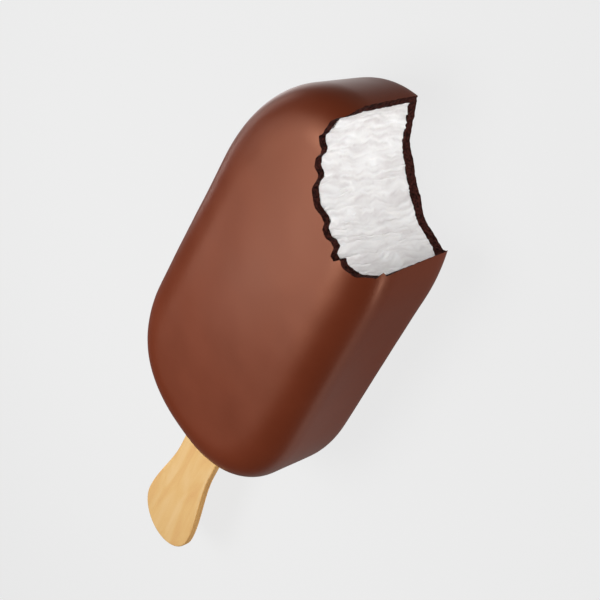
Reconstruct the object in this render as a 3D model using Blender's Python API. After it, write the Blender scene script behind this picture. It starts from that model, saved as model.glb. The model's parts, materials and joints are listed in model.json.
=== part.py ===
"""A chocolate-coated ice cream bar on a wooden stick, lying on its back, with one corner bitten off.

Run with: blender --background --python part.py
Metres, +Z up.  The origin is the middle of the bar's flat back, which lies on Z = 0.  +Y runs towards
the bitten end, the stick points along -Y, and the bite is at the corner +X +Y.
"""

from math import cos, pi, radians, sin, tau

import bmesh
import bpy
from mathutils import Vector

MM = 0.001

# The bar, over its coating
BAR_LENGTH = 90.0 * MM
BAR_WIDTH = 45.8 * MM  # half way along
BAR_THICKNESS = 26.2 * MM
BAR_TAPER = 0.086  # the outline grows this much towards the stick end, and shrinks as much the other way
BITTEN_END_LENGTH = 28.6 * MM  # each end of the outline is half a superellipse of this length
BITTEN_END_POWER = 2.1
STICK_END_LENGTH = 26.4 * MM
STICK_END_POWER = 2.4
TOP_EDGE_REACH = 9.4 * MM  # how far the rounding of the upper edge reaches over the face
TOP_EDGE_DEPTH = 7.3 * MM  # and how far down the side
BACK_EDGE_REACH = 9.8 * MM
BACK_EDGE_DEPTH = 8.4 * MM
EDGE_POWER = 2.1
FACE_CROWN = 0.4 * MM  # the face on top is this much higher in its middle than at its edge

# What the bar is made of
COATING = 1.7 * MM
GAP = 0.3 * MM  # clear space between touching solids

# The bite: a leaning cylinder with tooth marks
BITE_CENTRE_BOTTOM = (15.0 * MM, 41.9 * MM)
BITE_CENTRE_TOP = (16.7 * MM, 41.6 * MM)
BITE_RADIUS = 18.1 * MM
BITE_OVERSHOOT = 3.0 * MM  # how far the cutter runs past both faces
BITE_TIP_STEP = 1.4 * MM  # the wall steps in by this much where the bite ends at the bar's tip
BITE_SIDE_STEP_BACK = 3.4 * MM  # and by this much where it ends at the bar's side
BITE_SIDE_STEP_TOP = 0.6 * MM
BITE_TIP_STEP_FROM = radians(180.0)
BITE_SIDE_STEP_FROM = radians(277.0)
BITE_STEP_SPREAD = radians(10.0)
TOOTH_MARKS = 28  # around a whole circle
TOOTH_TURN = radians(94.0)
TOOTH_DEPTH_BOTTOM = 0.15 * MM
TOOTH_DEPTH_TOP = 0.6 * MM

# The stick
STICK_X = -1.55 * MM  # where its middle line crosses the bar's middle
STICK_Z = 11.65 * MM
STICK_TURN = radians(2.0)  # its hand end leans towards the bitten side
STICK_THICKNESS = 2.0 * MM
STICK_NECK_WIDTH = 11.6 * MM
STICK_PADDLE_WIDTH = 17.5 * MM
STICK_INNER_END = 2.4 * MM
STICK_OUTER_END = -92.35 * MM
STICK_FLARE_START = -61.5 * MM
STICK_FLARE_LENGTH = 22.0 * MM
STICK_ROUNDED_EDGE = 0.35 * MM

# How finely the forms are faceted
END_SEGMENTS = 28
SIDE_SEGMENTS = 6
ROUNDING_SEGMENTS = 6
CROWN_RINGS = 3
BITE_SEGMENTS_IN_BAR = 84
BITE_SEGMENTS_OUTSIDE = 24
BITE_LEVELS = 6
BITE_IN_BAR = (radians(168.0), radians(292.0))  # the directions in which the bite crosses the bar
STICK_END_SEGMENTS = 16
STICK_FLARE_SEGMENTS = 12
STICK_EDGE_SEGMENTS = 1
WELD_DISTANCE = 0.01 * MM
BAR_SHARP_ANGLE = radians(30.0)  # edges that turn by less than this are shaded smooth
STICK_SHARP_ANGLE = radians(40.0)


def clear_scene():
    for item in list(bpy.data.objects):
        bpy.data.objects.remove(item, do_unlink=True)


def new_collection(name):
    collection = bpy.data.collections.new(name)
    bpy.context.scene.collection.children.link(collection)
    return collection


def new_object(name, data, collection):
    item = bpy.data.objects.new(name, data)
    collection.objects.link(item)
    return item


def new_material(name, colour, roughness):
    material = bpy.data.materials.new(name)
    material.use_nodes = True
    shader = material.node_tree.nodes["Principled BSDF"]
    shader.inputs["Base Color"].default_value = (*colour, 1.0)
    shader.inputs["Roughness"].default_value = roughness
    shader.inputs["Metallic"].default_value = 0.0
    return material


def mix(start, end, share):
    return start + (end - start) * share


def smoothstep(share):
    share = min(max(share, 0.0), 1.0)
    return share * share * (3.0 - 2.0 * share)


def power(value, exponent):
    """Sign-keeping power, as a superellipse needs."""
    return abs(value) ** exponent * (1.0 if value >= 0.0 else -1.0)


def half_superellipse(length, exponent, base_y, direction):
    """Points from one side, round the tip, to the other side, anticlockwise seen from above."""
    points = []
    for step in range(END_SEGMENTS + 1):
        angle = pi * step / END_SEGMENTS
        x = BAR_WIDTH / 2 * power(cos(angle), 2.0 / exponent)
        y = length * power(sin(angle), 2.0 / exponent)
        points.append(Vector((direction * x, base_y + direction * y)))
    return points


def straight_side(x, start_y, end_y):
    """Points between two ends of the outline, without the ends' own points."""
    shares = [step / SIDE_SEGMENTS for step in range(1, SIDE_SEGMENTS)]
    return [Vector((x, mix(start_y, end_y, share))) for share in shares]


def bar_outline():
    """The bar seen from above: two rounded ends and straight sides, evenly tapered towards the bitten end."""
    top_y = BAR_LENGTH / 2 - BITTEN_END_LENGTH
    bottom_y = STICK_END_LENGTH - BAR_LENGTH / 2
    points = half_superellipse(BITTEN_END_LENGTH, BITTEN_END_POWER, top_y, 1)
    points += straight_side(-BAR_WIDTH / 2, top_y, bottom_y)
    points += half_superellipse(STICK_END_LENGTH, STICK_END_POWER, bottom_y, -1)
    points += straight_side(BAR_WIDTH / 2, bottom_y, top_y)
    for point in points:
        point.x *= 1.0 - BAR_TAPER * point.y / (BAR_LENGTH / 2)
    return points


def inset_outline(points, distance):
    """Every point moved inwards along the outline's own normal."""
    moved = []
    for number, point in enumerate(points):
        along = points[(number + 1) % len(points)] - points[number - 1]
        inwards = Vector((-along.y, along.x)).normalized()
        moved.append(point + inwards * distance)
    return moved


def ring(points, z):
    return [Vector((point.x, point.y, z)) for point in points]


def loft(name, rings, collection, tip=None):
    """A closed body through rings of equal length, from the lowest ring up, with an optional tip point."""
    form = bmesh.new()
    rows = [[form.verts.new(point) for point in points] for points in rings]
    count = len(rows[0])
    for lower, upper in zip(rows, rows[1:]):
        for number in range(count):
            after = (number + 1) % count
            form.faces.new((lower[number], lower[after], upper[after], upper[number]))
    form.faces.new(reversed(rows[0]))
    if tip is None:
        form.faces.new(rows[-1])
    else:
        peak = form.verts.new(tip)
        for number in range(count):
            form.faces.new((rows[-1][number], rows[-1][(number + 1) % count], peak))
    bmesh.ops.recalc_face_normals(form, faces=form.faces)
    mesh = bpy.data.meshes.new(name)
    form.to_mesh(mesh)
    form.free()
    return new_object(name, mesh, collection)


def edge_rounding(reach, depth, inset):
    """Steps from the face to the side, each as the distances in from the side and in from the face."""
    steps = []
    for step in range(ROUNDING_SEGMENTS + 1):
        angle = pi / 2 * step / ROUNDING_SEGMENTS
        sideways = inset + (reach - inset) * (1.0 - sin(angle) ** (2.0 / EDGE_POWER))
        upwards = inset + (depth - inset) * (1.0 - cos(angle) ** (2.0 / EDGE_POWER))
        steps.append((sideways, upwards))
    return steps


def bar_body(name, inset, collection):
    """The bar's form, or the same form made smaller by an even inset."""
    outline = bar_outline()
    rings = []
    for sideways, upwards in edge_rounding(BACK_EDGE_REACH, BACK_EDGE_DEPTH, inset):
        rings.append(ring(inset_outline(outline, sideways), upwards))
    for sideways, upwards in reversed(edge_rounding(TOP_EDGE_REACH, TOP_EDGE_DEPTH, inset)):
        rings.append(ring(inset_outline(outline, sideways), BAR_THICKNESS - upwards))
    face_edge = inset_outline(outline, TOP_EDGE_REACH)
    face_height = BAR_THICKNESS - inset
    for step in range(1, CROWN_RINGS + 1):
        size = 1.0 - step / (CROWN_RINGS + 1)
        height = face_height + FACE_CROWN * (1.0 - size * size) ** 2
        rings.append(ring([point * size for point in face_edge], height))
    return loft(name, rings, collection, tip=Vector((0.0, 0.0, face_height + FACE_CROWN)))


def bite_angles():
    """Directions from the bite's centre, close together where it crosses the bar."""
    start, end = BITE_IN_BAR
    angles = [mix(start, end, step / BITE_SEGMENTS_IN_BAR) for step in range(BITE_SEGMENTS_IN_BAR)]
    angles += [mix(end, start + tau, step / BITE_SEGMENTS_OUTSIDE) for step in range(BITE_SEGMENTS_OUTSIDE)]
    return angles


def bite_end_step(angle, share):
    """How far the bite's wall steps in near the bite's two ends, at a share of the bar's thickness."""
    tip = BITE_TIP_STEP * smoothstep((BITE_TIP_STEP_FROM - angle) / BITE_STEP_SPREAD)
    side = mix(BITE_SIDE_STEP_BACK, BITE_SIDE_STEP_TOP, share)
    return tip + side * smoothstep((angle - BITE_SIDE_STEP_FROM) / BITE_STEP_SPREAD)


def bite_cutter(collection):
    """A leaning cylinder whose wall carries tooth marks that fade towards the bar's back."""
    rings = []
    for level in range(BITE_LEVELS + 1):
        z = mix(-BITE_OVERSHOOT, BAR_THICKNESS + BITE_OVERSHOOT, level / BITE_LEVELS)
        share = z / BAR_THICKNESS
        centre_x = mix(BITE_CENTRE_BOTTOM[0], BITE_CENTRE_TOP[0], share)
        centre_y = mix(BITE_CENTRE_BOTTOM[1], BITE_CENTRE_TOP[1], share)
        tooth = mix(TOOTH_DEPTH_BOTTOM, TOOTH_DEPTH_TOP, smoothstep(share))
        points = []
        for angle in bite_angles():
            reach = BITE_RADIUS + tooth * sin(TOOTH_MARKS * angle + TOOTH_TURN) - bite_end_step(angle, share)
            points.append(Vector((centre_x + reach * cos(angle), centre_y + reach * sin(angle))))
        rings.append(ring(points, z))
    return loft("bite_cutter", rings, collection)


def stick_outline(grow):
    """The stick seen from above, anticlockwise, made larger all round by grow."""
    neck = STICK_NECK_WIDTH / 2 + grow
    paddle = STICK_PADDLE_WIDTH / 2 + grow
    right = []
    inner_centre = STICK_INNER_END + grow - neck
    outer_centre = STICK_OUTER_END - grow + paddle
    for step in range(1, STICK_END_SEGMENTS + 1):
        angle = -pi / 2 + pi / 2 * step / STICK_END_SEGMENTS
        right.append((paddle * cos(angle), outer_centre + paddle * sin(angle)))
    for step in range(STICK_FLARE_SEGMENTS + 1):
        share = step / STICK_FLARE_SEGMENTS
        y = STICK_FLARE_START - STICK_FLARE_LENGTH * (1.0 - share)
        right.append((mix(paddle, neck, smoothstep(share)), y))
    for step in range(STICK_END_SEGMENTS):
        angle = pi / 2 * step / STICK_END_SEGMENTS
        right.append((neck * cos(angle), inner_centre + neck * sin(angle)))
    left = [(-x, y) for x, y in reversed(right)]
    return [(0.0, STICK_OUTER_END - grow)] + right + [(0.0, STICK_INNER_END + grow)] + left


def flat_outline(name, points, thickness, rounded_edge, collection):
    """A filled outline of even thickness, as a curve whose rounded edge stays inside the outline."""
    curve = bpy.data.curves.new(name, "CURVE")
    curve.dimensions = "2D"
    curve.fill_mode = "BOTH"
    curve.extrude = thickness / 2 - rounded_edge
    curve.bevel_depth = rounded_edge
    curve.bevel_resolution = STICK_EDGE_SEGMENTS
    curve.offset = -rounded_edge
    line = curve.splines.new("POLY")
    line.points.add(len(points) - 1)
    for target, (x, y) in zip(line.points, points):
        target.co = (x, y, 0.0, 1.0)
    line.use_cyclic_u = True
    item = new_object(name, curve, collection)
    item.location = (STICK_X, 0.0, STICK_Z)
    item.rotation_euler.z = STICK_TURN
    return item


def mesh_from_curve(item, collection):
    """The same form as a closed mesh, which a Boolean can use."""
    bpy.context.view_layer.update()
    evaluated = item.evaluated_get(bpy.context.evaluated_depsgraph_get())
    mesh = bpy.data.meshes.new_from_object(evaluated)
    form = bmesh.new()
    form.from_mesh(mesh)
    bmesh.ops.remove_doubles(form, verts=form.verts, dist=WELD_DISTANCE)
    bmesh.ops.recalc_face_normals(form, faces=form.faces)
    form.to_mesh(mesh)
    form.free()
    name = item.name
    place = item.matrix_world.copy()
    bpy.data.objects.remove(item, do_unlink=True)
    solid = new_object(name, mesh, collection)
    solid.matrix_world = place
    return solid


def hide_cutter(item):
    item.hide_render = True
    item.display_type = "WIRE"


def cut(item, cutter):
    modifier = item.modifiers.new(f"cut_{cutter.name}", "BOOLEAN")
    modifier.operation = "DIFFERENCE"
    modifier.solver = "EXACT"
    modifier.object = cutter


def shade_round(item, sharp_angle):
    item.data.shade_smooth()
    item.data.set_sharp_from_angle(angle=sharp_angle)


def make_coating(collection, bite, core, stick_hole):
    """The chocolate shell, open at the bite and where the stick comes out."""
    coating = bar_body("chocolate_coating", 0.0, collection)
    for cutter in (core, bite, stick_hole):
        cut(coating, cutter)
    coating.data.materials.append(new_material("milk_chocolate", (0.23, 0.075, 0.045), 0.38))
    shade_round(coating, BAR_SHARP_ANGLE)
    return coating


def make_ice_cream(collection, bite, stick_hole):
    """The ice cream inside the shell, which shows at the bite."""
    ice_cream = bar_body("ice_cream", COATING + GAP, collection)
    for cutter in (bite, stick_hole):
        cut(ice_cream, cutter)
    ice_cream.data.materials.append(new_material("vanilla_ice_cream", (0.84, 0.81, 0.79), 0.55))
    shade_round(ice_cream, BAR_SHARP_ANGLE)
    return ice_cream


def make_stick(collection):
    """The flat wooden stick, with a narrow neck in the bar and a wider, rounded hand end."""
    stick = flat_outline("stick", stick_outline(0.0), STICK_THICKNESS, STICK_ROUNDED_EDGE, collection)
    stick = mesh_from_curve(stick, collection)
    stick.data.materials.clear()
    stick.data.materials.append(new_material("birch_wood", (0.75, 0.48, 0.20), 0.6))
    shade_round(stick, STICK_SHARP_ANGLE)
    return stick


def main():
    clear_scene()
    bar = new_collection("ice_cream_bar")
    cutters = new_collection("cutters")

    bite = bite_cutter(cutters)
    core = bar_body("core_cutter", COATING, cutters)
    hole_thickness = STICK_THICKNESS + 2 * GAP
    stick_hole = flat_outline("stick_hole_cutter", stick_outline(GAP), hole_thickness, GAP, cutters)
    stick_hole = mesh_from_curve(stick_hole, cutters)
    for cutter in (bite, core, stick_hole):
        hide_cutter(cutter)

    make_coating(bar, bite, core, stick_hole)
    make_ice_cream(bar, bite, stick_hole)
    make_stick(bar)


main()
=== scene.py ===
"""Looks of the ice cream bar: chocolate shell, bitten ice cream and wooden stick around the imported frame.

Metres, in the frame's axes: the bar lies on its back on Z = 0, +Y runs towards the bitten end and the
stick points along -Y.
"""
import json
from math import atan2, cos, degrees, hypot, pi, radians, sin

import bpy
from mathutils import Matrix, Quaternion, Vector, noise

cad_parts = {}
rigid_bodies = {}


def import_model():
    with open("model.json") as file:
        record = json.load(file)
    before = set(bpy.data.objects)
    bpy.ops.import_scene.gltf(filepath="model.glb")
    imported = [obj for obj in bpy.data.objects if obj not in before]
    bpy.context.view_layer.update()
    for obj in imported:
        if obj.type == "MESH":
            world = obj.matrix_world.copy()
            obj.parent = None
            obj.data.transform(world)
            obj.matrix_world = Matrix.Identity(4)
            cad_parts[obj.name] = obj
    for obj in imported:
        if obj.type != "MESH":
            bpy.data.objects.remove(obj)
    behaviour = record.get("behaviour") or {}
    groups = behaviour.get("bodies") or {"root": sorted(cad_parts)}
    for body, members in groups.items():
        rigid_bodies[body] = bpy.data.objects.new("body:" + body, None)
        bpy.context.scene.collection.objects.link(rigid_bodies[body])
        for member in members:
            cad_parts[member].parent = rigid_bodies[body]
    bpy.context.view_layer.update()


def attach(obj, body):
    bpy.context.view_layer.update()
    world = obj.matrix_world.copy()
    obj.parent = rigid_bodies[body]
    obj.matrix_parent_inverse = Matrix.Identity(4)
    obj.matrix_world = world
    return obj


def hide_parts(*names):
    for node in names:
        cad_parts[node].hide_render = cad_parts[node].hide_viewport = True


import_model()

BODY = "root"
MM = 0.001

# The bar's form, as in the CAD part
BAR_LENGTH = 90.0 * MM
BAR_WIDTH = 45.8 * MM
BAR_THICKNESS = 26.2 * MM
BAR_TAPER = 0.086
BITTEN_END_LENGTH = 28.6 * MM
BITTEN_END_POWER = 2.1
STICK_END_LENGTH = 26.4 * MM
STICK_END_POWER = 2.4
TOP_EDGE_REACH = 9.4 * MM
TOP_EDGE_DEPTH = 7.3 * MM
BACK_EDGE_REACH = 9.8 * MM
BACK_EDGE_DEPTH = 8.4 * MM
EDGE_POWER = 2.1
FACE_CROWN = 0.4 * MM
COATING = 1.7 * MM

# The coating's finer shape, which the CAD part doesn't have
BACK_COATING = 2.3 * MM  # gives the dark band along the back edge of the bite its width
SEAM = 0.02 * MM  # clear space between the shell and what fills it
COATING_WAVES = 0.12 * MM
COATING_WAVE_LAYERS = ((1.0, 0.055, 0.0), (0.3, 0.16, 7.0))  # strength, waves per millimetre, shift along X
COATING_WAVES_START = 3.0 * MM  # the waves fade out below this height, so that the back stays flat

# The bite: a cylinder that leans a little, with tooth marks
BITE_CENTRE_BOTTOM = (15.0 * MM, 41.9 * MM)
BITE_CENTRE_TOP = (16.7 * MM, 41.6 * MM)
BITE_RADIUS = 18.1 * MM
BITE_OVERSHOOT = 3.0 * MM
BITE_START = 160.0  # degrees round the bite's centre, a little outside the bar at both ends
BITE_END = 300.0
# Three lines round the bite say how many millimetres deeper than the cylinder it is, with places in degrees.
# Each has a level, a step towards the bar's tip, a step towards its side and a few marks.
# A step is (where it starts, how wide it is, how much deeper), a mark (middle, half width, how much deeper).
FACE_LINE = (-0.8, (182, 10, -0.5), (277, 12, -0.8), (
    (186, 11, 1.0), (193, 4, 0.6), (205, 6, 0.9), (224, 12, 1.4),
    (244, 6, 0.9), (257, 4, 1.7), (268, 10, 1.1),
))
MIDDLE_LINE = (0.3, (186, 13, -1.7), (275, 17, -3.6), ())
BACK_LINE = (0.2, (181, 8, 0.9), (275, 16, -3.5), ((231, 26, -1.3),))
MARK_STEEPNESS = 1.5  # 1 for a rounded mark, more for steep sides and a flat floor
FACE_MARKS_DEPTH = 9.0 * MM  # how far down from the face the face's line fades out
BACK_MARKS_HEIGHT = 7.0 * MM  # how far up from the back the back's line fades out

# Unevenness of the bite's wall, as layers of smooth noise
# A layer is (millimetres, waves per millimetre round the bite, waves per millimetre up it, seed).
CHIP_LAYERS = ((0.16, 0.9, 0.9, 0.0), (0.08, 2.6, 2.6, 4.0))
CRUMB_PLACE = (282.5, 21.9 * MM)  # degrees and height of a crumb left standing on the broken edge
CRUMB_SPREAD = (2.4, 1.2 * MM)
CRUMB_STANDS_OUT = 0.9  # millimetres
RIDGE_LAYERS = ((0.16, 0.62, 0.12, 1.0), (0.20, 1.5, 0.22, 5.0), (0.04, 3.2, 1.4, 9.0))
SWAY_LAYERS = ((1.1, 0.16, 0.22, 3.0), (0.4, 0.5, 0.6, 8.0))
RIPPLE_LEAN = 0.12  # how far the ridges lean round the bite for each step up it
PIT_LAYER = (0.15, 1.6, 0.9, 12.0)
PIT_THRESHOLD = 0.25
CREST_LAYER = (0.22, 0.75, 0.12, 15.0)
CREST_WIDTH = 0.26
CREST_PATCH_LAYER = (2.5, 0.4, 0.25, 21.0)  # its first number is how sharply the crests come and go
CREST_PATCH_LEVEL = 0.25
RIPPLE_MOST = 0.5 * MM  # points further than this from the unrippled wall don't belong to it
RELIEF_SHADE_OFF_WALL = 0.3  # how deep the ice cream counts as away from the bite's wall, which sets its painted light and shade there

# The stick, as in the CAD part but for its last three values
STICK_X = -1.55 * MM
STICK_Z = 11.65 * MM
STICK_TURN = radians(2.0)
STICK_THICKNESS = 2.0 * MM
STICK_NECK_WIDTH = 11.6 * MM
STICK_PADDLE_WIDTH = 17.5 * MM
STICK_INNER_END = 2.4 * MM
STICK_OUTER_END = -92.35 * MM
STICK_FLARE_START = -61.5 * MM
STICK_ROUNDED_EDGE = 0.45 * MM  # rounder than the CAD part's
STICK_FACE_RIM = 1.2 * MM  # a ring of points this far in keeps the stick's faces flat
EDGE_SLOPE = 0.75  # faces of the stick whose normal has less Z than this are its cut edge

# How finely the forms are made
END_SEGMENTS = 96
SIDE_SEGMENTS = 40
ROUNDING_SEGMENTS = 18
BACK_RINGS = 8
WALL_RINGS = 8
FACE_RINGS = 16
SHELL_BITE_COLUMNS = 420
SHELL_BITE_ROWS = 110
CREAM_BITE_COLUMNS = 400
CREAM_BITE_ROWS = 150
BITE_COLUMNS_OUTSIDE = 24
STICK_END_SEGMENTS = 40
STICK_FLARE_SEGMENTS = 30
STICK_NECK_SEGMENTS = 24
STICK_EDGE_SEGMENTS = 10
SHARP_ANGLE = radians(40.0)  # edges that turn by less than this are shaded smooth

# Colours, as linear red, green and blue
CHOCOLATE_DARK = (0.117, 0.0233, 0.0095)
CHOCOLATE_LIGHT = (0.128, 0.0254, 0.0104)
CHOCOLATE_SHEEN = (1.0, 0.45, 0.27)
# The broken edge's near-black is painted shade over the chocolate's own brown, with lighter crumbs at random
BROKEN_SHADE_DARK = (0.010, 0.0030, 0.0022)
BROKEN_SHADE_LIGHT = (0.072, 0.020, 0.015)
# The ice cream's crest colour is a painted highlight on its ridges, and its darkest colour is painted shade
# in its dips; the middle colour is its own
ICE_CREAM_CREST_PAINTED_LIGHT = (0.97, 0.955, 0.945)
ICE_CREAM_MIDDLE = (0.89, 0.87, 0.86)
ICE_CREAM_HOLLOW_PAINTED_SHADE = (0.72, 0.68, 0.675)
WOOD_DARK = (0.64, 0.37, 0.145)
WOOD_MIDDLE = (0.67, 0.42, 0.168)
WOOD_LIGHT = (0.70, 0.465, 0.215)
WOOD_EDGE_DARK = (0.60, 0.30, 0.09)
WOOD_EDGE_LIGHT = (0.78, 0.45, 0.15)
WHITE = (1.0, 1.0, 1.0)
BLACK = (0.0, 0.0, 0.0)

# The materials' noise: the size of its features in millimetres, and how deep it is as bump
CHOCOLATE_PATCHES = (14.0, 14.0, 14.0)
CHOCOLATE_ROUGHNESS = (0.33, 0.39)
CHOCOLATE_GRAIN = (1.1, 1.1, 1.1)
CHOCOLATE_GRAIN_DEPTH = 0.01 * MM
BROKEN_CRUMBS = (0.5, 0.5, 0.5)
BROKEN_CRUMBS_DEPTH = 0.15 * MM
ICE_CREAM_GRAIN = (0.35, 0.35, 0.35)
ICE_CREAM_GRAIN_DEPTH = 0.04 * MM
WOOD_STREAKS = (3.6, 26.0, 6.0)
WOOD_STREAKS_DISTORTION = 0.9
WOOD_GRAIN = (0.25, 12.0, 0.25)
WOOD_GRAIN_DEPTH = 0.03 * MM
WOOD_EDGE_STREAKS = (3.0, 14.0, 0.5)
NOISE_LOW = 0.3  # nearly all noise lies between these two
NOISE_HIGH = 0.7

# The camera
CAMERA_TARGET = (3.42 * MM, -1.23 * MM, 13.1 * MM)
CAMERA_DIRECTION = (0.39295, 0.63586, 0.66428)  # from its target to the camera
CAMERA_DISTANCE = 195.97 * MM
CAMERA_ROLL = radians(-106.7)
CAMERA_LENS = 60.0  # this and the sensor are in millimetres, as Blender takes them
CAMERA_SENSOR = 36.0
CAMERA_CLIP = (0.01, 20.0)

# The stage and the light
FLOOR_HALF_SIDE = 3.0
FLOOR_SHARE_LIT = 0.05  # the floor mostly glows evenly, so that shadows on it stay faint
FLOOR_GLOW = 0.787
LIT_POINT_OF_BAR = (0.0, 20.0 * MM, 13.0 * MM)
LIT_POINT_OF_HANDLE = (0.0, -75.0 * MM, 12.0 * MM)
ROUND_SOFT_BOXES = (  # name, target, azimuth, elevation, distance, width and watts
    ("face_light", LIT_POINT_OF_BAR, 225.0, 72.0, 0.25, 0.14, 0.62),
    ("left_light", LIT_POINT_OF_BAR, 180.0, 60.0, 0.25, 0.14, 0.089),
    ("edge_light", LIT_POINT_OF_BAR, 200.0, 40.0, 0.25, 0.14, 0.049),
    ("back_light", LIT_POINT_OF_BAR, 270.0, 60.0, 0.25, 0.14, 0.033),
    ("face_sheen", LIT_POINT_OF_BAR, 250.0, 45.0, 0.25, 0.14, 0.0143),
    ("handle_light", LIT_POINT_OF_HANDLE, 180.0, 60.0, 0.12, 0.06, 0.0144),
)
LOW_SOFT_BOXES = (  # name, azimuth and watts
    ("bite_light", 45.0, 0.18),
    ("side_light", 0.0, 0.085),
    ("rim_light", 195.0, 0.026),
)
LOW_BOX_DISTANCE = 0.2
LOW_BOX_WIDTH = 0.16
LOW_BOX_HEIGHT = 0.02
BACKGROUND_GLOW = 0.838
CARD_HALF_SIDE = 0.9
CARD_Z = -1.0 * MM  # just under the floor
CARD_GLOW = 0.14
CARD_PATCHES = (  # each brighter patch's middle X and Y, half its length along X and Y, and its glow
    (110.0 * MM, -75.0 * MM, 110.0 * MM, 100.0 * MM, 0.72),
    (-50.0 * MM, 22.0 * MM, 52.0 * MM, 42.0 * MM, 2.1),
)


def mix(start, end, share):
    return start + (end - start) * share


def smoothstep(share):
    share = min(max(share, 0.0), 1.0)
    return share * share * (3.0 - 2.0 * share)


def power(value, exponent):
    """Sign-keeping power, as a superellipse needs."""
    return abs(value) ** exponent * (1.0 if value >= 0.0 else -1.0)


# ---------------------------------------------------------------- meshes

def new_object(name, data):
    item = bpy.data.objects.new(name, data)
    bpy.context.scene.collection.objects.link(item)
    return item


def mesh_through_rings(name, rings, low_tip=None, high_tip=None):
    """A closed body through rings of equal length, from the lowest ring up."""
    count = len(rings[0])
    points = [point for ring in rings for point in ring]
    faces = []
    for row in range(len(rings) - 1):
        low, high = row * count, (row + 1) * count
        for number in range(count):
            after = (number + 1) % count
            faces.append((low + number, low + after, high + after, high + number))
    last = (len(rings) - 1) * count
    if low_tip is None:
        faces.append(tuple(reversed(range(count))))
    else:
        points.append(low_tip)
        faces += [((number + 1) % count, number, len(points) - 1) for number in range(count)]
    if high_tip is None:
        faces.append(tuple(range(last, last + count)))
    else:
        points.append(high_tip)
        faces += [(last + number, last + (number + 1) % count, len(points) - 1) for number in range(count)]
    mesh = bpy.data.meshes.new(name)
    mesh.from_pydata([tuple(point) for point in points], [], faces)
    mesh.validate()
    mesh.update()
    return mesh


def half_superellipse(length, exponent, base_y, direction):
    points = []
    for step in range(END_SEGMENTS + 1):
        angle = pi * step / END_SEGMENTS
        x = BAR_WIDTH / 2 * power(cos(angle), 2.0 / exponent)
        y = length * power(sin(angle), 2.0 / exponent)
        points.append(Vector((direction * x, base_y + direction * y)))
    return points


def straight_side(x, start_y, end_y):
    shares = [step / SIDE_SEGMENTS for step in range(1, SIDE_SEGMENTS)]
    return [Vector((x, mix(start_y, end_y, share))) for share in shares]


def bar_outline():
    """The bar seen from above, anticlockwise and narrower towards the bitten end."""
    top_y = BAR_LENGTH / 2 - BITTEN_END_LENGTH
    bottom_y = STICK_END_LENGTH - BAR_LENGTH / 2
    points = half_superellipse(BITTEN_END_LENGTH, BITTEN_END_POWER, top_y, 1)
    points += straight_side(-BAR_WIDTH / 2, top_y, bottom_y)
    points += half_superellipse(STICK_END_LENGTH, STICK_END_POWER, bottom_y, -1)
    points += straight_side(BAR_WIDTH / 2, bottom_y, top_y)
    for point in points:
        point.x *= 1.0 - BAR_TAPER * point.y / (BAR_LENGTH / 2)
    return points


def inset_outline(points, distance):
    """Every point moved inwards along the outline's own normal."""
    moved = []
    for number, point in enumerate(points):
        along = points[(number + 1) % len(points)] - points[number - 1]
        inwards = Vector((-along.y, along.x)).normalized()
        moved.append(point + inwards * distance)
    return moved


def lift(points, z):
    return [Vector((point.x, point.y, z)) for point in points]


def edge_rounding(reach, depth, inset, face_inset):
    """Steps from the face to the side, each as the distances in from the side and in from the face."""
    steps = []
    for step in range(ROUNDING_SEGMENTS + 1):
        angle = pi / 2 * step / ROUNDING_SEGMENTS
        sideways = inset + (reach - inset) * (1.0 - sin(angle) ** (2.0 / EDGE_POWER))
        upwards = face_inset + (depth - face_inset) * (1.0 - cos(angle) ** (2.0 / EDGE_POWER))
        steps.append((sideways, upwards))
    return steps


def bar_mesh(name, inset, back_inset):
    """The bar's form, or the same form made smaller by an inset, with an inset of its own at the back."""
    outline = bar_outline()
    rings = []
    back_edge = inset_outline(outline, BACK_EDGE_REACH)
    for step in range(1, BACK_RINGS):
        rings.append(lift([point * (step / BACK_RINGS) for point in back_edge], back_inset))
    for sideways, upwards in edge_rounding(BACK_EDGE_REACH, BACK_EDGE_DEPTH, inset, back_inset):
        rings.append(lift(inset_outline(outline, sideways), upwards))
    wall = inset_outline(outline, inset)
    for step in range(1, WALL_RINGS):
        height = mix(BACK_EDGE_DEPTH, BAR_THICKNESS - TOP_EDGE_DEPTH, step / WALL_RINGS)
        rings.append(lift(wall, height))
    for sideways, upwards in reversed(edge_rounding(TOP_EDGE_REACH, TOP_EDGE_DEPTH, inset, inset)):
        rings.append(lift(inset_outline(outline, sideways), BAR_THICKNESS - upwards))
    face_edge = inset_outline(outline, TOP_EDGE_REACH)
    face_height = BAR_THICKNESS - inset
    for step in range(1, FACE_RINGS):
        size = 1.0 - step / FACE_RINGS
        height = face_height + FACE_CROWN * (1.0 - size * size) ** 2
        rings.append(lift([point * size for point in face_edge], height))
    top = Vector((0.0, 0.0, face_height + FACE_CROWN))
    return mesh_through_rings(name, rings, low_tip=Vector((0.0, 0.0, back_inset)), high_tip=top)


# ---------------------------------------------------------------- the bite

def bite_centre(z):
    """Where the leaning cylinder's axis is at a height."""
    share = z / BAR_THICKNESS
    x = mix(BITE_CENTRE_BOTTOM[0], BITE_CENTRE_TOP[0], share)
    y = mix(BITE_CENTRE_BOTTOM[1], BITE_CENTRE_TOP[1], share)
    return x, y


def line_depth(angle, level, tip_step, side_step, marks):
    """How many millimetres deeper than the cylinder one of the bite's lines is, at an angle in degrees."""
    tip_start, tip_width, tip_depth = tip_step
    side_start, side_width, side_depth = side_step
    depth = level + tip_depth * smoothstep((tip_start - angle) / tip_width)
    depth += side_depth * smoothstep((angle - side_start) / side_width)
    for middle, half_width, mark_depth in marks:
        depth += mark_depth * smoothstep(MARK_STEEPNESS * (1.0 - abs(angle - middle) / half_width))
    return depth


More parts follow.
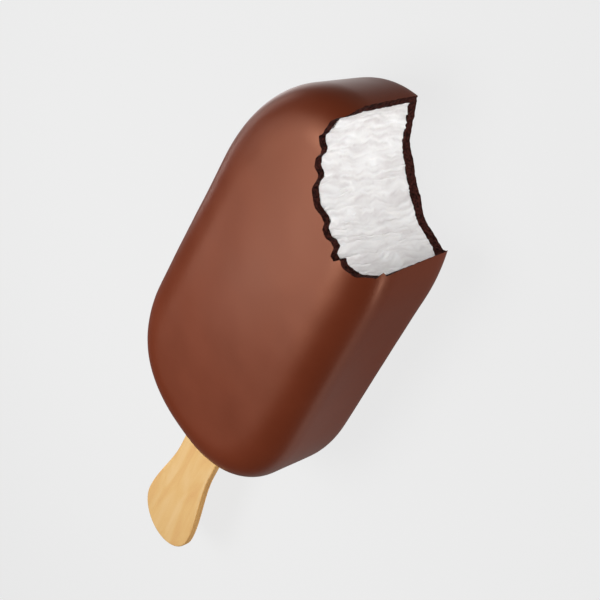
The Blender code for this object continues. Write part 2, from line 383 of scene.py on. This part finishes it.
def bite_depth(angle, z):
    """How many metres deeper than the cylinder the bite is, at an angle in degrees and a height."""
    z = min(max(z, 0.0), BAR_THICKNESS)
    near_face = smoothstep(1.0 - (BAR_THICKNESS - z) / FACE_MARKS_DEPTH)
    near_back = smoothstep(1.0 - z / BACK_MARKS_HEIGHT)
    depth = mix(line_depth(angle, *MIDDLE_LINE), line_depth(angle, *FACE_LINE), near_face)
    return mix(depth, line_depth(angle, *BACK_LINE), near_back) * MM


def wall_noise(angle, z, along_frequency, height_frequency, seed):
    """Smooth noise on the bite's wall, with frequencies per millimetre round the bite and up it."""
    along = radians(angle) * BITE_RADIUS / MM
    return noise.noise(Vector((along * along_frequency, z / MM * height_frequency, seed)))


def layered_noise(angle, z, layers):
    total = 0.0
    for size, *waves_and_seed in layers:
        total += size * wall_noise(angle, z, *waves_and_seed)
    return total


def chip(angle, z):
    """The unevenness of the broken chocolate, with one crumb left standing on it."""
    crumb_angle, crumb_height = CRUMB_PLACE
    half_width, half_height = CRUMB_SPREAD
    from_crumb = hypot((angle - crumb_angle) / half_width, (z - crumb_height) / half_height)
    crumb = CRUMB_STANDS_OUT * smoothstep(1.0 - from_crumb)
    return (layered_noise(angle, z, CHIP_LAYERS) - crumb) * MM


def ripple(angle, z):
    """The wall of the bitten ice cream: wavy ridges through the bar's thickness, with pits and crests."""
    lean = degrees(RIPPLE_LEAN * z / BITE_RADIUS)
    sway = degrees(layered_noise(angle, z, SWAY_LAYERS) * MM / BITE_RADIUS)
    place = angle + lean + sway
    pit_depth, *pit_waves = PIT_LAYER
    crest_height, *crest_waves = CREST_LAYER
    pit = min(0.0, wall_noise(place, z, *pit_waves) + PIT_THRESHOLD)
    crest = smoothstep(1.0 - abs(wall_noise(place, z, *crest_waves)) / CREST_WIDTH)
    crest *= smoothstep(CREST_PATCH_LEVEL + layered_noise(place, z, (CREST_PATCH_LAYER,)))
    ridges = layered_noise(place, z, RIDGE_LAYERS)
    return (ridges - pit_depth * pit - crest_height * crest) * MM


def bite_mesh(name, columns, rows, detail):
    """The bite's cutter: a leaning cylinder whose wall carries the marks."""
    angles = [mix(BITE_START, BITE_END, step / columns) for step in range(columns + 1)]
    for step in range(1, BITE_COLUMNS_OUTSIDE):
        angles.append(mix(BITE_END, BITE_START + 360.0, step / BITE_COLUMNS_OUTSIDE))
    rings = []
    for row in range(rows + 1):
        z = mix(-BITE_OVERSHOOT, BAR_THICKNESS + BITE_OVERSHOOT, row / rows)
        centre_x, centre_y = bite_centre(z)
        ring = []
        for angle in angles:
            reach = BITE_RADIUS + bite_depth(min(angle, BITE_END), z)
            if BITE_START <= angle <= BITE_END:
                reach += detail(angle, z)
            turn = radians(angle)
            ring.append(Vector((centre_x + reach * cos(turn), centre_y + reach * sin(turn), z)))
        rings.append(ring)
    return mesh_through_rings(name, rings)


def cut_away(piece, cutters):
    """Cuts the cutters out of the piece for good, and lets each cut face keep its cutter's material."""
    for cutter in cutters:
        modifier = piece.modifiers.new("cut", "BOOLEAN")
        modifier.operation = "DIFFERENCE"
        modifier.solver = "MANIFOLD"
        modifier.material_mode = "TRANSFER"
        modifier.object = cutter
    bpy.context.view_layer.update()
    evaluated = piece.evaluated_get(bpy.context.evaluated_depsgraph_get())
    mesh = bpy.data.meshes.new_from_object(evaluated)
    piece.modifiers.clear()
    piece.data = mesh


def shade_round(piece):
    piece.data.shade_smooth()
    piece.data.set_sharp_from_angle(angle=SHARP_ANGLE)


# ---------------------------------------------------------------- materials

def new_material(name, roughness, specular):
    material = bpy.data.materials.new(name)
    material.use_nodes = True
    shader = material.node_tree.nodes["Principled BSDF"]
    shader.inputs["Roughness"].default_value = roughness
    shader.inputs["Specular IOR Level"].default_value = specular
    return material, shader


def stretched_place(material, stretch):
    """Object coordinates in millimetres, divided by a stretch along each axis."""
    tree = material.node_tree
    coordinates = tree.nodes.new("ShaderNodeTexCoord")
    mapping = tree.nodes.new("ShaderNodeMapping")
    mapping.inputs["Scale"].default_value = [1.0 / MM / length for length in stretch]
    tree.links.new(coordinates.outputs["Object"], mapping.inputs["Vector"])
    return mapping.outputs["Vector"]


def noise_value(material, stretch, detail=3.0, distortion=0.0):
    """Noise from about 0 to 1, with features about as long as the stretch in millimetres."""
    tree = material.node_tree
    texture = tree.nodes.new("ShaderNodeTexNoise")
    texture.inputs["Scale"].default_value = 1.0
    texture.inputs["Detail"].default_value = detail
    texture.inputs["Distortion"].default_value = distortion
    tree.links.new(stretched_place(material, stretch), texture.inputs["Vector"])
    return texture.outputs["Fac"]


def colour_between(material, value, stops):
    """Colours along a value, from (place, colour) stops."""
    ramp = material.node_tree.nodes.new("ShaderNodeValToRGB")
    elements = ramp.color_ramp.elements
    while len(elements) < len(stops):
        elements.new(0.5)
    for element, (place, colour) in zip(elements, stops):
        element.position = place
        element.color = (*colour, 1.0)
    material.node_tree.links.new(value, ramp.inputs["Fac"])
    return ramp.outputs["Color"]


def value_between(material, value, low, high):
    """Numbers from low to high along a noise value."""
    scaled = material.node_tree.nodes.new("ShaderNodeMapRange")
    scaled.inputs["From Min"].default_value = NOISE_LOW
    scaled.inputs["From Max"].default_value = NOISE_HIGH
    scaled.inputs["To Min"].default_value = low
    scaled.inputs["To Max"].default_value = high
    material.node_tree.links.new(value, scaled.inputs["Value"])
    return scaled.outputs["Result"]


def add_bump(material, shader, value, depth):
    bump = material.node_tree.nodes.new("ShaderNodeBump")
    bump.inputs["Distance"].default_value = depth
    material.node_tree.links.new(value, bump.inputs["Height"])
    material.node_tree.links.new(bump.outputs["Normal"], shader.inputs["Normal"])


def chocolate_material():
    """Milk chocolate with a soft gloss."""
    material, shader = new_material("milk_chocolate", roughness=0.36, specular=0.78)
    shader.inputs["Specular Tint"].default_value = (*CHOCOLATE_SHEEN, 1.0)
    links = material.node_tree.links
    patches = noise_value(material, CHOCOLATE_PATCHES)
    colour = colour_between(material, patches, ((0.35, CHOCOLATE_DARK), (0.65, CHOCOLATE_LIGHT)))
    links.new(colour, shader.inputs["Base Color"])
    links.new(value_between(material, patches, *CHOCOLATE_ROUGHNESS), shader.inputs["Roughness"])
    add_bump(material, shader, noise_value(material, CHOCOLATE_GRAIN, detail=4.0), CHOCOLATE_GRAIN_DEPTH)
    return material


def shaded_broken_chocolate_material():
    """The coating's broken edge, painted much darker than its skin: painted shade over the chocolate's own
    brown.
    """
    material, shader = new_material("shaded_broken_chocolate", roughness=0.6, specular=0.03)
    crumbs = noise_value(material, BROKEN_CRUMBS, detail=4.0)
    colour = colour_between(material, crumbs, ((0.35, BROKEN_SHADE_DARK), (0.7, BROKEN_SHADE_LIGHT)))
    material.node_tree.links.new(colour, shader.inputs["Base Color"])
    add_bump(material, shader, crumbs, BROKEN_CRUMBS_DEPTH)
    return material


def ice_cream_material():
    """Vanilla ice cream with painted light and shade: greyer in the dips and lighter on the crests that an
    attribute of the mesh marks.
    """
    material, shader = new_material("vanilla_ice_cream", roughness=0.5, specular=0.35)
    tree = material.node_tree
    relief_shade = tree.nodes.new("ShaderNodeAttribute")
    relief_shade.attribute_name = "relief_shade"
    # painted highlight on the crests, painted shade in the dips
    stops = ((0.2, ICE_CREAM_CREST_PAINTED_LIGHT), (0.45, ICE_CREAM_MIDDLE), (0.72, ICE_CREAM_HOLLOW_PAINTED_SHADE))
    colour = colour_between(material, relief_shade.outputs["Fac"], stops)
    tree.links.new(colour, shader.inputs["Base Color"])
    shader.inputs["Subsurface Weight"].default_value = 0.35
    shader.inputs["Subsurface Radius"].default_value = (1.0, 0.95, 0.9)
    shader.inputs["Subsurface Scale"].default_value = 0.8 * MM
    add_bump(material, shader, noise_value(material, ICE_CREAM_GRAIN), ICE_CREAM_GRAIN_DEPTH)
    return material


def wood_material():
    """Pale birch with faint streaks along the stick."""
    material, shader = new_material("birch_wood", roughness=0.55, specular=0.3)
    streaks = noise_value(material, WOOD_STREAKS, distortion=WOOD_STREAKS_DISTORTION)
    colour = colour_between(material, streaks, ((0.32, WOOD_DARK), (0.5, WOOD_MIDDLE), (0.68, WOOD_LIGHT)))
    material.node_tree.links.new(colour, shader.inputs["Base Color"])
    add_bump(material, shader, noise_value(material, WOOD_GRAIN, detail=2.0), WOOD_GRAIN_DEPTH)
    return material


def wood_edge_material():
    """The stick's cut edge, browner than its faces."""
    material, shader = new_material("birch_edge", roughness=0.6, specular=0.2)
    streaks = noise_value(material, WOOD_EDGE_STREAKS)
    colour = colour_between(material, streaks, ((0.35, WOOD_EDGE_DARK), (0.65, WOOD_EDGE_LIGHT)))
    material.node_tree.links.new(colour, shader.inputs["Base Color"])
    return material


# ---------------------------------------------------------------- pieces

def finish_piece(piece, node):
    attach(piece, BODY)
    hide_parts(node)


def add_waves(mesh):
    """Lets the coating's surface wander a little, except on the flat back."""
    moves = []
    for vertex in mesh.vertices:
        place = vertex.co / MM
        wave = 0.0
        for strength, frequency, shift in COATING_WAVE_LAYERS:
            wave += strength * noise.noise(place * frequency + Vector((shift, 0.0, 0.0)))
        keep = smoothstep(vertex.co.z / COATING_WAVES_START)
        moves.append(vertex.normal * (COATING_WAVES * wave * keep))
    for vertex, move in zip(mesh.vertices, moves):
        vertex.co += move


def paint_relief_shade(mesh):
    """Stores on each point of the bite's wall how far it lies in a dip between ridges, for the ice cream's
    painted shade and highlight.
    """
    relief_shade = mesh.attributes.new("relief_shade", "FLOAT", "POINT")
    for vertex in mesh.vertices:
        centre_x, centre_y = bite_centre(vertex.co.z)
        x, y = vertex.co.x - centre_x, vertex.co.y - centre_y
        angle = degrees(atan2(y, x)) % 360.0
        extra = hypot(x, y) - BITE_RADIUS - bite_depth(angle, vertex.co.z)
        on_wall = BITE_START < angle < BITE_END and abs(extra) < RIPPLE_MOST
        relief_shade.data[vertex.index].value = 0.5 + 0.5 * extra / RIPPLE_MOST if on_wall else RELIEF_SHADE_OFF_WALL


def new_form(name, mesh, material):
    """A piece or a cutter with one material."""
    form = new_object(name, mesh)
    form.data.materials.append(material)
    return form


def make_bar():
    """The coating and the ice cream, each cut from the bar's form with its own version of the bite."""
    chocolate = chocolate_material()
    shaded_broken_chocolate = shaded_broken_chocolate_material()
    ice_cream = ice_cream_material()

    shell = new_form("chocolate_shell", bar_mesh("chocolate_shell", 0.0, 0.0), chocolate)
    add_waves(shell.data)
    core = new_form("core_cutter", bar_mesh("core_cutter", COATING, BACK_COATING), shaded_broken_chocolate)
    bite = bite_mesh("broken_edge_cutter", SHELL_BITE_COLUMNS, SHELL_BITE_ROWS, chip)
    broken = new_form("broken_edge_cutter", bite, shaded_broken_chocolate)
    cut_away(shell, (core, broken))

    filling = bar_mesh("bitten_ice_cream", COATING + SEAM, BACK_COATING + SEAM)
    cream = new_form("bitten_ice_cream", filling, ice_cream)
    bite = bite_mesh("ripple_cutter", CREAM_BITE_COLUMNS, CREAM_BITE_ROWS, ripple)
    bitten = new_form("ripple_cutter", bite, ice_cream)
    cut_away(cream, (bitten,))
    paint_relief_shade(cream.data)

    for cutter in (core, broken, bitten):
        bpy.data.objects.remove(cutter, do_unlink=True)
    shade_round(shell)
    shade_round(cream)
    finish_piece(shell, "chocolate_coating")
    finish_piece(cream, "ice_cream")


def stick_outline():
    """The stick seen from above, anticlockwise, round at both ends and narrower in the neck."""
    neck = STICK_NECK_WIDTH / 2
    paddle = STICK_PADDLE_WIDTH / 2
    outer_centre = STICK_OUTER_END + paddle
    inner_centre = STICK_INNER_END - neck
    right = []
    for step in range(1, STICK_END_SEGMENTS + 1):
        angle = -pi / 2 + pi / 2 * step / STICK_END_SEGMENTS
        right.append(Vector((paddle * cos(angle), outer_centre + paddle * sin(angle))))
    for step in range(1, STICK_FLARE_SEGMENTS + 1):
        share = step / STICK_FLARE_SEGMENTS
        y = mix(outer_centre, STICK_FLARE_START, share)
        right.append(Vector((mix(paddle, neck, smoothstep(share)), y)))
    for step in range(1, STICK_NECK_SEGMENTS + 1):
        right.append(Vector((neck, mix(STICK_FLARE_START, inner_centre, step / STICK_NECK_SEGMENTS))))
    for step in range(1, STICK_END_SEGMENTS):
        angle = pi / 2 * step / STICK_END_SEGMENTS
        right.append(Vector((neck * cos(angle), inner_centre + neck * sin(angle))))
    left = [Vector((-point.x, point.y)) for point in reversed(right)]
    return [Vector((0.0, STICK_OUTER_END))] + right + [Vector((0.0, STICK_INNER_END))] + left


def stick_profile():
    """The stick's edge from its lower face to its upper, as distances in from the outline and heights."""
    half = STICK_THICKNESS / 2
    profile = [(STICK_FACE_RIM, -half)]
    for step in range(STICK_EDGE_SEGMENTS + 1):
        angle = -pi / 2 + pi * step / STICK_EDGE_SEGMENTS
        side = STICK_ROUNDED_EDGE * (1.0 - cos(angle))
        flat_height = half - STICK_ROUNDED_EDGE if angle > 0.0 else STICK_ROUNDED_EDGE - half
        profile.append((side, flat_height + STICK_ROUNDED_EDGE * sin(angle)))
    profile.append((STICK_FACE_RIM, half))
    return profile


def make_stick():
    """The flat wooden stick, with a material of its own on its cut edge."""
    outline = stick_outline()
    rings = [lift(inset_outline(outline, side), height) for side, height in stick_profile()]
    stick = new_form("wooden_stick", mesh_through_rings("wooden_stick", rings), wood_material())
    stick.location = (STICK_X, 0.0, STICK_Z)
    stick.rotation_euler.z = STICK_TURN
    stick.data.materials.append(wood_edge_material())
    for face in stick.data.polygons:
        face.material_index = 1 if abs(face.normal.z) < EDGE_SLOPE else 0
    shade_round(stick)
    finish_piece(stick, "stick")


# ---------------------------------------------------------------- stage, camera and light

def level_sheet(name, half_side, z, colour):
    """A level square that glows white, with its shader."""
    mesh = bpy.data.meshes.new(name)
    corners = [(x * half_side, y * half_side, 0.0) for x, y in ((-1, -1), (1, -1), (1, 1), (-1, 1))]
    mesh.from_pydata(corners, [], [(0, 1, 2, 3)])
    material, shader = new_material(name, roughness=0.9, specular=0.0)
    shader.inputs["Base Color"].default_value = (*colour, 1.0)
    shader.inputs["Emission Color"].default_value = (*WHITE, 1.0)
    mesh.materials.append(material)
    sheet = new_object(name, mesh)
    sheet.location.z = z
    return sheet, shader


def reflection_card():
    """A dim card with soft bright patches, which shows only in reflections."""
    card, shader = level_sheet("reflection_card", CARD_HALF_SIDE, CARD_Z, BLACK)
    card.visible_camera = False
    card.visible_diffuse = False
    card.visible_shadow = False
    tree = card.active_material.node_tree
    place = tree.nodes.new("ShaderNodeTexCoord")
    glow = None
    for x, y, half_x, half_y, patch_glow in CARD_PATCHES:
        from_middle = tree.nodes.new("ShaderNodeMapping")
        from_middle.inputs["Location"].default_value = (-x / half_x, -y / half_y, 0.0)
        from_middle.inputs["Scale"].default_value = (1.0 / half_x, 1.0 / half_y, 0.0)
        fade = tree.nodes.new("ShaderNodeTexGradient")
        fade.gradient_type = "SPHERICAL"
        add_patch = tree.nodes.new("ShaderNodeMath")
        add_patch.operation = "MULTIPLY_ADD"
        add_patch.inputs[1].default_value = patch_glow
        add_patch.inputs[2].default_value = CARD_GLOW
        tree.links.new(place.outputs["Object"], from_middle.inputs["Vector"])
        tree.links.new(from_middle.outputs["Vector"], fade.inputs["Vector"])
        tree.links.new(fade.outputs["Fac"], add_patch.inputs[0])
        if glow:
            tree.links.new(glow, add_patch.inputs[2])
        glow = add_patch.outputs["Value"]
    tree.links.new(glow, shader.inputs["Emission Strength"])


def make_stage():
    """The pale floor and background, and the card that stands in for them in reflections."""
    floor, shader = level_sheet("pale_floor", FLOOR_HALF_SIDE, 0.0, [FLOOR_SHARE_LIT] * 3)
    shader.inputs["Emission Strength"].default_value = FLOOR_GLOW
    floor.visible_glossy = False
    reflection_card()
    world = bpy.data.worlds.new("studio")
    bpy.context.scene.world = world
    world.use_nodes = True
    background = world.node_tree.nodes["Background"]
    background.inputs["Color"].default_value = (*WHITE, 1.0)
    background.inputs["Strength"].default_value = BACKGROUND_GLOW
    for part in ("diffuse", "glossy", "transmission", "scatter"):
        setattr(world.cycles_visibility, part, False)


def make_camera():
    toward_camera = Vector(CAMERA_DIRECTION).normalized()
    data = bpy.data.cameras.new("camera")
    data.lens = CAMERA_LENS
    data.sensor_width = CAMERA_SENSOR
    data.clip_start, data.clip_end = CAMERA_CLIP
    camera = new_object("camera", data)
    camera.location = Vector(CAMERA_TARGET) + toward_camera * CAMERA_DISTANCE
    level = (-toward_camera).to_track_quat("-Z", "Y")
    camera.rotation_mode = "QUATERNION"
    camera.rotation_quaternion = level @ Quaternion((0.0, 0.0, 1.0), CAMERA_ROLL)
    bpy.context.scene.camera = camera


def towards(azimuth, elevation):
    """The direction at an azimuth from +X towards +Y and an elevation, both in degrees."""
    level = cos(radians(elevation))
    return Vector((level * cos(radians(azimuth)), level * sin(radians(azimuth)), sin(radians(elevation))))


def add_soft_box(name, target, direction, distance, width, height, watts):
    """A soft box that faces its target, round if it has no height of its own."""
    data = bpy.data.lights.new(name, "AREA")
    data.shape = "RECTANGLE" if height else "DISK"
    data.size = width
    data.size_y = height or width
    data.energy = watts
    light = new_object(name, data)
    light.location = Vector(target) + direction * distance
    light.rotation_mode = "QUATERNION"
    light.rotation_quaternion = (-direction).to_track_quat("-Z", "Y")
    return light


def make_light():
    """Soft boxes over the bar and the handle, and low ones at its sides that don't light the floor."""
    for name, target, azimuth, elevation, distance, width, watts in ROUND_SOFT_BOXES:
        add_soft_box(name, target, towards(azimuth, elevation), distance, width, None, watts)
    lit_by_low_boxes = bpy.data.collections.new("lit_by_low_boxes")
    for piece in bpy.data.objects:
        if piece.type == "MESH" and piece.name != "pale_floor":
            lit_by_low_boxes.objects.link(piece)
    for name, azimuth, watts in LOW_SOFT_BOXES:
        direction = towards(azimuth, 0.0)
        light = add_soft_box(
            name, LIT_POINT_OF_BAR, direction, LOW_BOX_DISTANCE, LOW_BOX_WIDTH, LOW_BOX_HEIGHT, watts
        )
        light.light_linking.receiver_collection = lit_by_low_boxes


make_camera()
make_bar()
make_stick()
make_stage()
make_light()
bpy.context.scene.view_settings.view_transform = "Standard"
